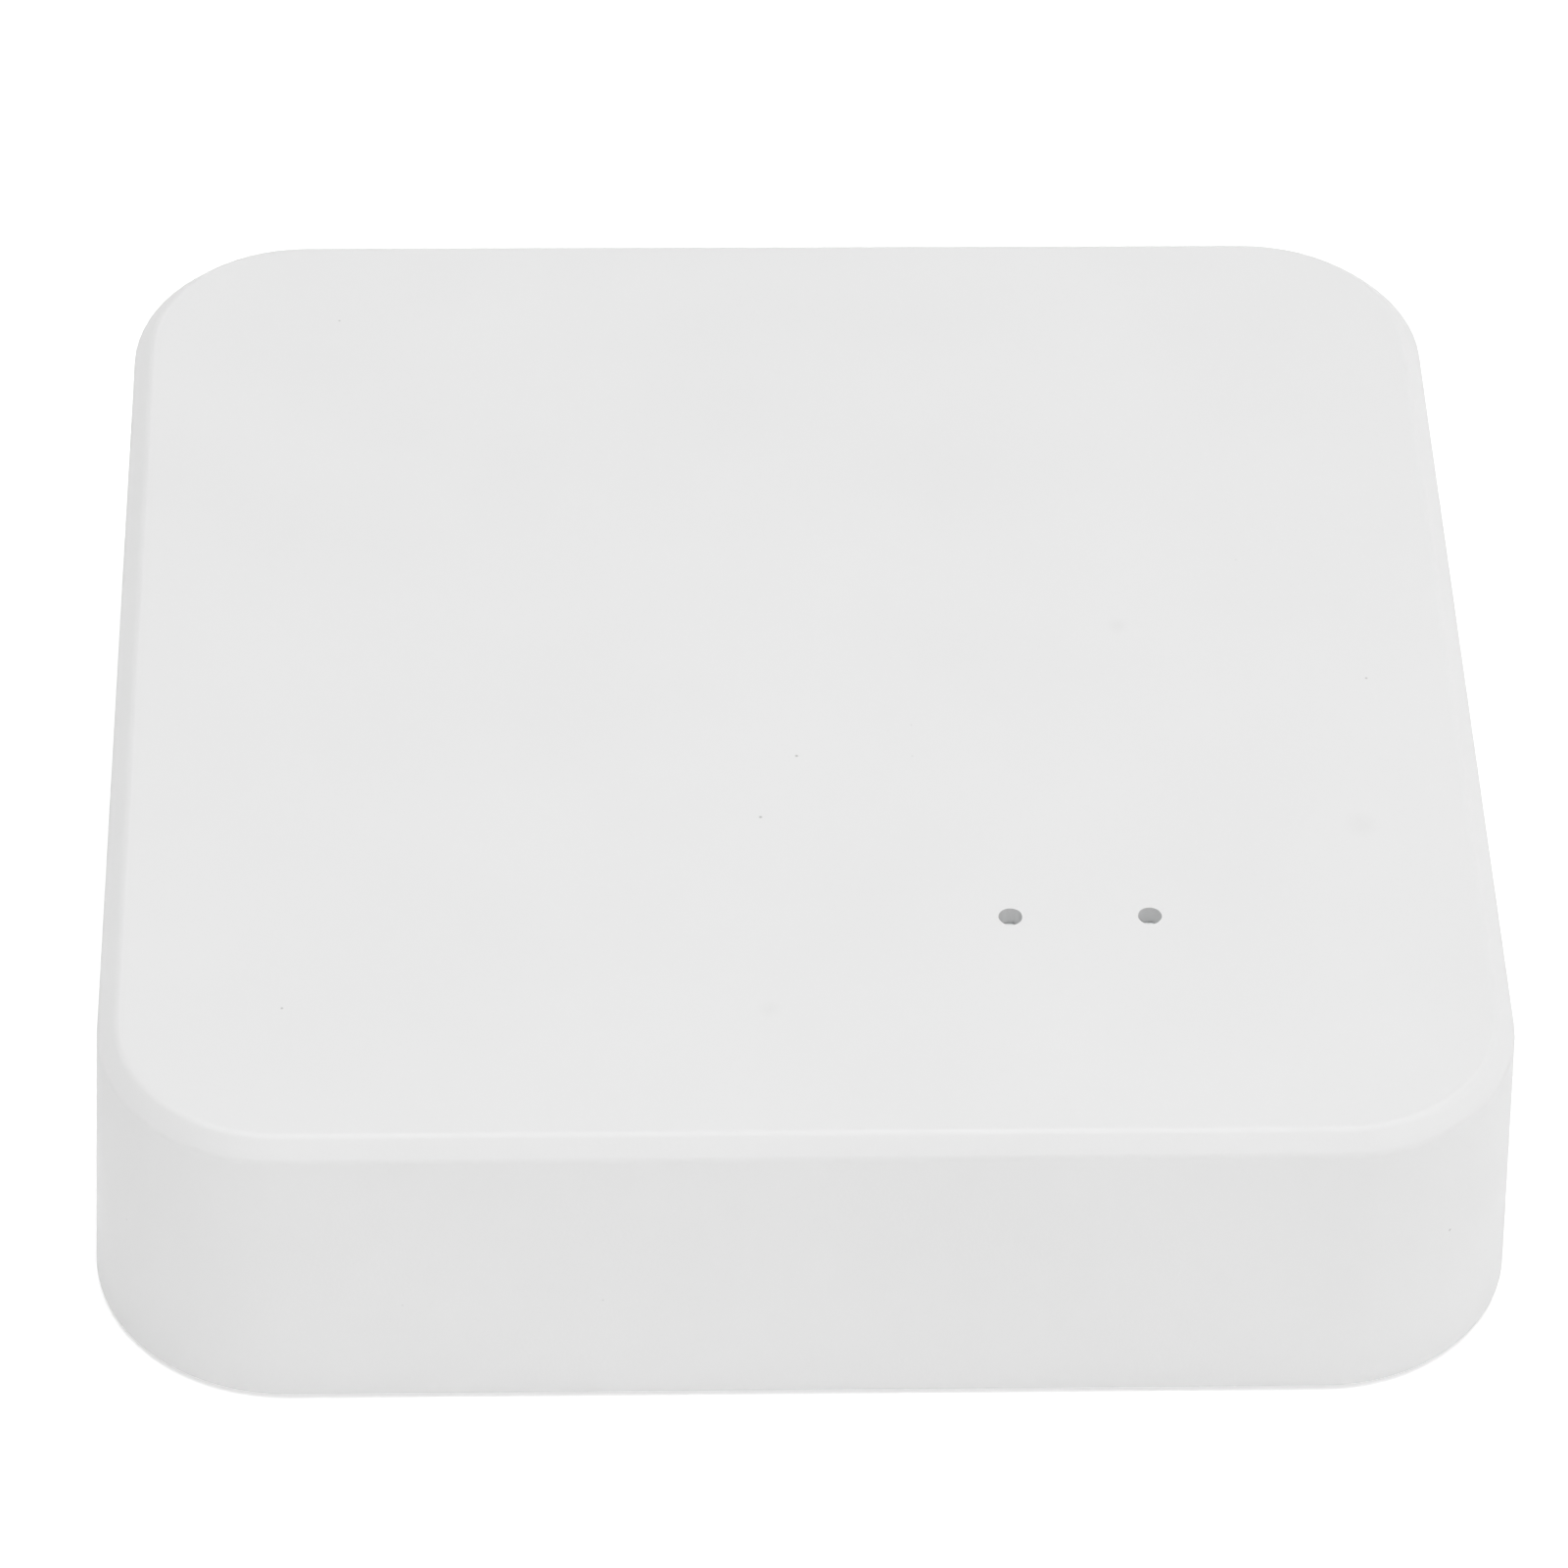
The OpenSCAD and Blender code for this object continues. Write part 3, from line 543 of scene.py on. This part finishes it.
class SocketSettings(bpy.types.PropertyGroup):
    """The network jack and the power socket"""

    sheet: FloatProperty(
        name="Spring sheet",
        description="Thickness of the earthing springs, in millimetres",
        default=0.15,
        min=0.1,
        max=0.25,
    )
    spring_width: FloatProperty(
        name="Spring width",
        description="Width of an earthing spring, in millimetres",
        default=1.8,
        min=1,
        max=3,
    )
    steel: FloatVectorProperty(
        name="Tinned steel",
        description="Colour of the sockets' metal shells",
        subtype="COLOR",
        size=3,
        min=0,
        max=1,
        default=srgb("#C6C7C4"),
    )
    gold: FloatVectorProperty(
        name="Gold plate",
        description="Colour of the contacts",
        subtype="COLOR",
        size=3,
        min=0,
        max=1,
        default=srgb("#E3BC6C"),
    )


class BoardSettings(bpy.types.PropertyGroup):
    """The circuit boards"""

    mask: FloatVectorProperty(
        name="Solder mask",
        description="Colour of the lacquer on the boards",
        subtype="COLOR",
        size=3,
        min=0,
        max=1,
        default=srgb("#14532F"),
    )
    tracks: FloatVectorProperty(
        name="Tracks",
        description="Colour of the lacquer where it runs over copper",
        subtype="COLOR",
        size=3,
        min=0,
        max=1,
        default=srgb("#2C7A48"),
    )


class StageSettings(bpy.types.PropertyGroup):
    """The camera, the floor and the lights"""

    lens: FloatProperty(
        name="Lens",
        description="Focal length of the camera",
        unit="CAMERA",
        default=169.1,
        min=20,
        max=300,
    )
    distance: FloatProperty(
        name="Distance",
        description="From the camera to the point that it looks at",
        unit="LENGTH",
        default=0.4879,
        min=0.1,
        max=3,
    )
    azimuth: FloatProperty(
        name="Azimuth",
        description="How far the camera stands to the left of the front",
        unit="ROTATION",
        default=math.radians(2.6),
    )
    elevation: FloatProperty(
        name="Elevation",
        description="How steeply the camera looks down",
        unit="ROTATION",
        default=math.radians(43.07),
    )
    roll: FloatProperty(
        name="Roll",
        description="How far the camera is turned about its own line of sight",
        unit="ROTATION",
        default=math.radians(1.46),
    )
    aim: FloatVectorProperty(
        name="Aim",
        description="The point that the camera looks at, from the middle of the case, in millimetres",
        size=3,
        default=(-0.4, -0.33, 0.0),
    )
    room: FloatProperty(
        name="Room light",
        description="Strength of the even light from the white room",
        default=0.15,
        min=0,
        max=5,
    )
    walls: FloatProperty(
        name="Wall light",
        description="Strength of the light from the room's white walls, low down all round",
        default=1.05,
        min=0,
        max=5,
    )
    overhead: FloatProperty(
        name="Overhead panel",
        description="Power of the panel above",
        unit="POWER",
        default=7.6,
        min=0,
        max=100,
    )
    front: FloatProperty(
        name="Front panel",
        description="Power of the panel above the front",
        unit="POWER",
        default=1.5,
        min=0,
        max=100,
    )
    back: FloatProperty(
        name="Back panel",
        description="Power of the panel above the back",
        unit="POWER",
        default=0.9,
        min=0,
        max=100,
    )
    front_right: FloatProperty(
        name="Front right panel",
        description="Power of the low panel at the front and right",
        unit="POWER",
        default=0.4,
        min=0,
        max=100,
    )
    right: FloatProperty(
        name="Right panel",
        description="Power of the panel above the right",
        unit="POWER",
        default=1.2,
        min=0,
        max=100,
    )
    glow: FloatProperty(
        name="Table glow",
        description="Strength of the light that comes up through the white table",
        default=0.18,
        min=0,
        max=2,
    )
    skirt: FloatProperty(
        name="Skirt glow",
        description="Extra strength of the table's light close round the foot of the hub",
        default=0.08,
        min=0,
        max=2,
    )
    floor: FloatVectorProperty(
        name="Floor",
        description="Colour of the pale floor",
        subtype="COLOR",
        size=3,
        min=0,
        max=1,
        default=srgb("#FBFBFB"),
    )


SETTINGS = {
    "hub_case": CaseSettings,
    "hub_sockets": SocketSettings,
    "hub_boards": BoardSettings,
    "hub_stage": StageSettings,
}


# ---- Operators ----


class HUB_OT_finish_case(bpy.types.Operator):
    """Finish the top shell and the bottom cover in moulded ABS"""

    bl_idname = "hub.finish_case"
    bl_label = "Finish the case"

    def execute(self, context):
        case = context.scene.hub_case
        plastic = moulded_abs("moulded_abs", tuple(case.colour), case.grain, case.grain_depth)
        top = CAD_BOX[1].z
        rims = (("Brow", top, case.rim), ("Shoulder", top - CHAMFER * MM, case.rim))
        finish_node("top_shell", plastic, case.edge, rims=rims)
        finish_node("bottom_cover", plastic, case.edge)
        return {"FINISHED"}


class HUB_OT_fit_feet(bpy.types.Operator):
    """Finish the four feet in silicone rubber and the label in printed film"""

    bl_idname = "hub.fit_feet"
    bl_label = "Fit the feet and the label"

    def execute(self, context):
        rubber = silicone_rubber()
        for end in ("front", "rear"):
            for side in ("left", "right"):
                finish_node(f"foot_{end}_{side}", rubber, edge=0.12)
        finish_node("rating_label", label_film(*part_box("rating_label")), edge=0.02, segments=1)
        return {"FINISHED"}


class HUB_OT_fit_network_jack(bpy.types.Operator):
    """Finish the network jack, and add the earthing springs inside its mouth"""

    bl_idname = "hub.fit_network_jack"
    bl_label = "Fit the network jack"

    def execute(self, context):
        sockets = context.scene.hub_sockets
        steel = rolled_metal("tinned_steel", tuple(sockets.steel), roughness=0.3, along=(1, 0.08, 1))
        finish_node("jack_shield", steel, edge=0.05)
        finish_node("jack_body", moulded_black("moulded_pbt", srgb("#17181A"), grain=0.12), edge=0.05)
        gold = rolled_metal("gold_plate", tuple(sockets.gold), roughness=0.22)
        finish_node("jack_contacts", gold, edge=0.04, segments=2)
        low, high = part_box("jack_shield")
        middle_z = low.z + MOUTH_MIDDLE * MM
        for name, side in (("left", -1), ("right", 1)):
            wall = side * MOUTH_WIDTH / 2 * MM
            path = spring_path(Vector((wall, high.y, middle_z)), -side, sockets.sheet)
            form = strip(path, Vector((0, 0, 1)), sockets.spring_width * MM, sockets.sheet * MM)
            spring = new_piece(f"jack_spring_{name}", form, steel, "hub")
            soften(spring, 0.03, 2)
        return {"FINISHED"}


class HUB_OT_fit_power_socket(bpy.types.Operator):
    """Finish the power socket's shell, tongue and contacts"""

    bl_idname = "hub.fit_power_socket"
    bl_label = "Fit the power socket"

    def execute(self, context):
        finish_node("usb_shell", bpy.data.materials["tinned_steel"], edge=0.06)
        finish_node("usb_insulator", bpy.data.materials["moulded_pbt"], edge=0.05)
        finish_node("usb_contacts", bpy.data.materials["gold_plate"], edge=0.02, segments=1)
        return {"FINISHED"}


class HUB_OT_fit_reset_button(bpy.types.Operator):
    """Finish the reset button and the switch behind it, with a snap dome under the plunger"""

    bl_idname = "hub.fit_reset_button"
    bl_label = "Fit the reset button"

    def execute(self, context):
        case = context.scene.hub_case
        cap = moulded_abs("button_abs", tuple(0.96 * c for c in case.colour), case.grain, case.grain_depth)
        nylon = moulded_abs("plunger_nylon", srgb("#DAD8D0"), 0.15, 0.004)
        finish_node("reset_button", cap, edge=0.06)
        finish_node("reset_switch_plunger", nylon, edge=0.06)
        finish_node("reset_switch_base", bpy.data.materials["moulded_pbt"], edge=0.06)
        steel = bpy.data.materials["tinned_steel"]
        for metal in ("cover", "terminals"):
            finish_node(f"reset_switch_{metal}", steel, edge=0.02, segments=1)
        low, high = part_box("reset_switch_dome")
        dome = new_piece("snap_dome", snap_dome(low, high, DOME_SHEET * MM), steel, "hub")
        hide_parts("reset_switch_dome")
        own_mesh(dome)
        return {"FINISHED"}


class HUB_OT_fit_status_lights(bpy.types.Operator):
    """Finish the two status lights and the light pipes above them"""

    bl_idname = "hub.fit_status_lights"
    bl_label = "Fit the status lights"

    def execute(self, context):
        acrylic, resin = frosted_acrylic(), lamp_resin()
        for side in ("left", "right"):
            finish_node(f"light_pipe_{side}", acrylic, edge=0.1)
            finish_node(f"status_led_{side}", resin, edge=0.03, segments=2)
        return {"FINISHED"}


class HUB_OT_fit_board(bpy.types.Operator):
    """Finish the main board and the screws that hold it"""

    bl_idname = "hub.fit_board"
    bl_label = "Fit the circuit board"

    def execute(self, context):
        boards = context.scene.hub_boards
        green = solder_mask("green_solder_mask", tuple(boards.mask), tuple(boards.tracks))
        finish_node("main_board", green, edge=0.06)
        finish_node("board_screws", rolled_metal("zinc_plate", srgb("#B9BDC2"), roughness=0.32), edge=0.08)
        return {"FINISHED"}


class HUB_OT_fit_chips(bpy.types.Operator):
    """Finish the chips, capacitors, crystals and coils on the main board"""

    bl_idname = "hub.fit_chips"
    bl_label = "Fit the chips"

    def execute(self, context):
        epoxy = moulded_black("moulded_epoxy", srgb("#1C1D20"), grain=0.08)
        packages = ("network_transformer", "processor", "working_memory", "flash_memory", "voltage_regulator")
        for node in packages:
            finish_node(node, epoxy, edge=0.05, segments=2)
        finish_node("power_inductor", moulded_black("pressed_ferrite", srgb("#3A3A3C"), grain=0.2), edge=0.15)
        can = rolled_metal("brushed_aluminium", srgb("#C9CBCE"), roughness=0.28, along=(1, 1, 0.1))
        for n in (1, 2):
            finish_node(f"smoothing_capacitor_{n}", can, edge=0.2)
        finish_node("processor_crystal", bpy.data.materials["tinned_steel"], edge=0.2)
        low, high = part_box("chip_capacitors")
        ceramic = end_capped("fired_ceramic", srgb("#A98A63"), srgb("#C9C9C6"), low, high)
        finish_node("chip_capacitors", ceramic, edge=0.05, segments=2)
        low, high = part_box("chip_resistors")
        film = end_capped("resistor_film", srgb("#191A1D"), srgb("#C9C9C6"), low, high)
        finish_node("chip_resistors", film, edge=0.04, segments=2)
        return {"FINISHED"}


class HUB_OT_fit_radio(bpy.types.Operator):
    """Finish the radio module: its board, shield can, crystal and antenna"""

    bl_idname = "hub.fit_radio"
    bl_label = "Fit the radio module"

    def execute(self, context):
        blue = solder_mask("blue_solder_mask", srgb("#123A63"), srgb("#2A5C8E"))
        finish_node("radio_board", blue, edge=0.05)
        can = rolled_metal("nickel_silver", srgb("#C4C0B6"), roughness=0.28, along=(0.1, 1, 1))
        finish_node("radio_shield_can", can, edge=0.12)
        finish_node("radio_crystal", bpy.data.materials["tinned_steel"], edge=0.08)
        finish_node("radio_antenna", bpy.data.materials["gold_plate"])
        return {"FINISHED"}


class HUB_OT_set_stage(bpy.types.Operator):
    """Set up the pale floor, the soft lights and the camera"""

    bl_idname = "hub.set_stage"
    bl_label = "Set the stage"

    def execute(self, context):
        stage = context.scene.hub_stage
        low, high = CAD_BOX
        middle = (low + high) / 2
        place_camera(context.scene, stage, middle)
        lay_floor(stage, low.z)
        hang_lights(context.scene, stage, middle)
        return {"FINISHED"}


def place_camera(scene, stage, middle):
    """The camera looks at its aim from its distance, azimuth and elevation, and is rolled about its line of
    sight."""
    lens = bpy.data.cameras.new("Camera")
    lens.lens = stage.lens
    lens.sensor_width = 36
    lens.clip_start = 0.01
    camera = bpy.data.objects.new("Camera", lens)
    scene.collection.objects.link(camera)
    aim = middle + Vector(stage.aim) * MM
    flat = math.cos(stage.elevation)
    ahead = Vector(
        (math.sin(stage.azimuth) * flat, math.cos(stage.azimuth) * flat, -math.sin(stage.elevation))
    )
    turn = ahead.to_track_quat("-Z", "Y").to_matrix() @ Matrix.Rotation(stage.roll, 3, "Z")
    camera.matrix_world = Matrix.Translation(aim - ahead * stage.distance) @ turn.to_4x4()
    scene.camera = camera


def lay_floor(stage, level):
    """A round white table, lit from below as well: softly under the hub, and more towards its edge, where the
    panels reach it less. It is clear from below, so that the underside of the hub can be seen."""
    form = bmesh.new()
    bmesh.ops.create_circle(form, cap_ends=True, segments=TABLE_SECTORS, radius=TABLE_RADIUS)
    mesh = bpy.data.meshes.new("floor")
    form.to_mesh(mesh)
    form.free()
    material, tree, shader, place = blank("opal_table", Roughness=0.9)
    cloud = noise(tree, place, size=60, detail=2)
    paint = blend(tree, cloud, tuple(stage.floor), tuple(0.99 * c for c in stage.floor))
    tree.links.new(paint, shader.inputs["Base Color"])
    shader.inputs["Emission Color"].default_value = (1, 1, 1, 1)
    reach = add(tree, "ShaderNodeVectorMath", {0: place}, operation="LENGTH").outputs["Value"]
    outer = span(tree, reach, stage.glow, stage.glow + OUTER_GLOW, OUTER_START, OUTER_END)
    apart = add(tree, "ShaderNodeSeparateXYZ", {"Vector": place})
    sides = [sums(tree, "ABSOLUTE", apart.outputs[axis]) for axis in "XY"]
    foot = span(tree, sums(tree, "MAXIMUM", *sides), stage.skirt, 0.0, SKIRT_START, SKIRT_END)
    tree.links.new(sums(tree, "ADD", outer, foot), shader.inputs["Emission Strength"])
    below = add(tree, "ShaderNodeNewGeometry").outputs["Backfacing"]
    clear = add(tree, "ShaderNodeBsdfTransparent").outputs["BSDF"]
    either = add(tree, "ShaderNodeMixShader", {0: below, 1: shader.outputs["BSDF"], 2: clear})
    output = next(node for node in tree.nodes if node.type == "OUTPUT_MATERIAL")
    tree.links.new(either.outputs["Shader"], output.inputs["Surface"])
    mesh.materials.append(material)
    floor = bpy.data.objects.new("floor", mesh)
    floor.location.z = level - 0.01 * MM
    bpy.context.scene.collection.objects.link(floor)


def hang_lights(scene, stage, middle):
    """Light from a white room, brighter low down, and soft panels a metre away."""
    world = bpy.data.worlds.new("white_room")
    world.use_nodes = True
    tree = world.node_tree
    way = add(tree, "ShaderNodeTexCoord").outputs["Generated"]
    height = add(tree, "ShaderNodeSeparateXYZ", {"Vector": way}).outputs["Z"]
    walls = span(tree, height, stage.walls, stage.room, WALL_TOP, CEILING)
    background = tree.nodes["Background"]
    background.inputs["Color"].default_value = (1, 1, 1, 1)
    tree.links.new(walls, background.inputs["Strength"])
    scene.world = world
    panels = {
        "overhead": ((0, 0, 1), stage.overhead),
        "front": ((0, -1, 1), stage.front),
        "back": ((0, 1, 1), stage.back),
        "front_right": ((1, -1, 0.43), stage.front_right),
        "right": ((1, 0, 1), stage.right),
    }
    for name, (way, power) in panels.items():
        light = bpy.data.lights.new(f"{name}_panel", "AREA")
        light.size = PANEL_SIDE
        light.energy = power
        panel = bpy.data.objects.new(f"{name}_panel", light)
        panel.location = middle + Vector(way).normalized()
        panel.rotation_euler = (middle - panel.location).to_track_quat("-Z", "Y").to_euler()
        scene.collection.objects.link(panel)
    scene.view_settings.view_transform = "Standard"


class HUB_PT_looks(bpy.types.Panel):
    """Lists the steps that finish the hub, with their settings"""

    bl_idname = "HUB_PT_looks"
    bl_label = "Home Hub"
    bl_space_type = "VIEW_3D"
    bl_region_type = "UI"
    bl_category = "Home Hub"

    def draw(self, context):
        for name, group in SETTINGS.items():
            box = self.layout.box()
            box.label(text=group.__doc__)
            for setting in group.__annotations__:
                box.prop(getattr(context.scene, name), setting)
        for step in STEPS:
            self.layout.operator(step.bl_idname)


STEPS = (
    HUB_OT_finish_case,
    HUB_OT_fit_feet,
    HUB_OT_fit_network_jack,
    HUB_OT_fit_power_socket,
    HUB_OT_fit_reset_button,
    HUB_OT_fit_status_lights,
    HUB_OT_fit_board,
    HUB_OT_fit_chips,
    HUB_OT_fit_radio,
    HUB_OT_set_stage,
)
CLASSES = (*SETTINGS.values(), *STEPS, HUB_PT_looks)


def register():
    for cls in CLASSES:
        bpy.utils.register_class(cls)
    for name, group in SETTINGS.items():
        setattr(bpy.types.Scene, name, PointerProperty(type=group))


def unregister():
    for name in SETTINGS:
        delattr(bpy.types.Scene, name)
    for cls in reversed(CLASSES):
        bpy.utils.unregister_class(cls)


def main():
    register()
    for step in STEPS:
        group, name = step.bl_idname.split(".")
        getattr(getattr(bpy.ops, group), name)()


if __name__ == "__main__":
    main()
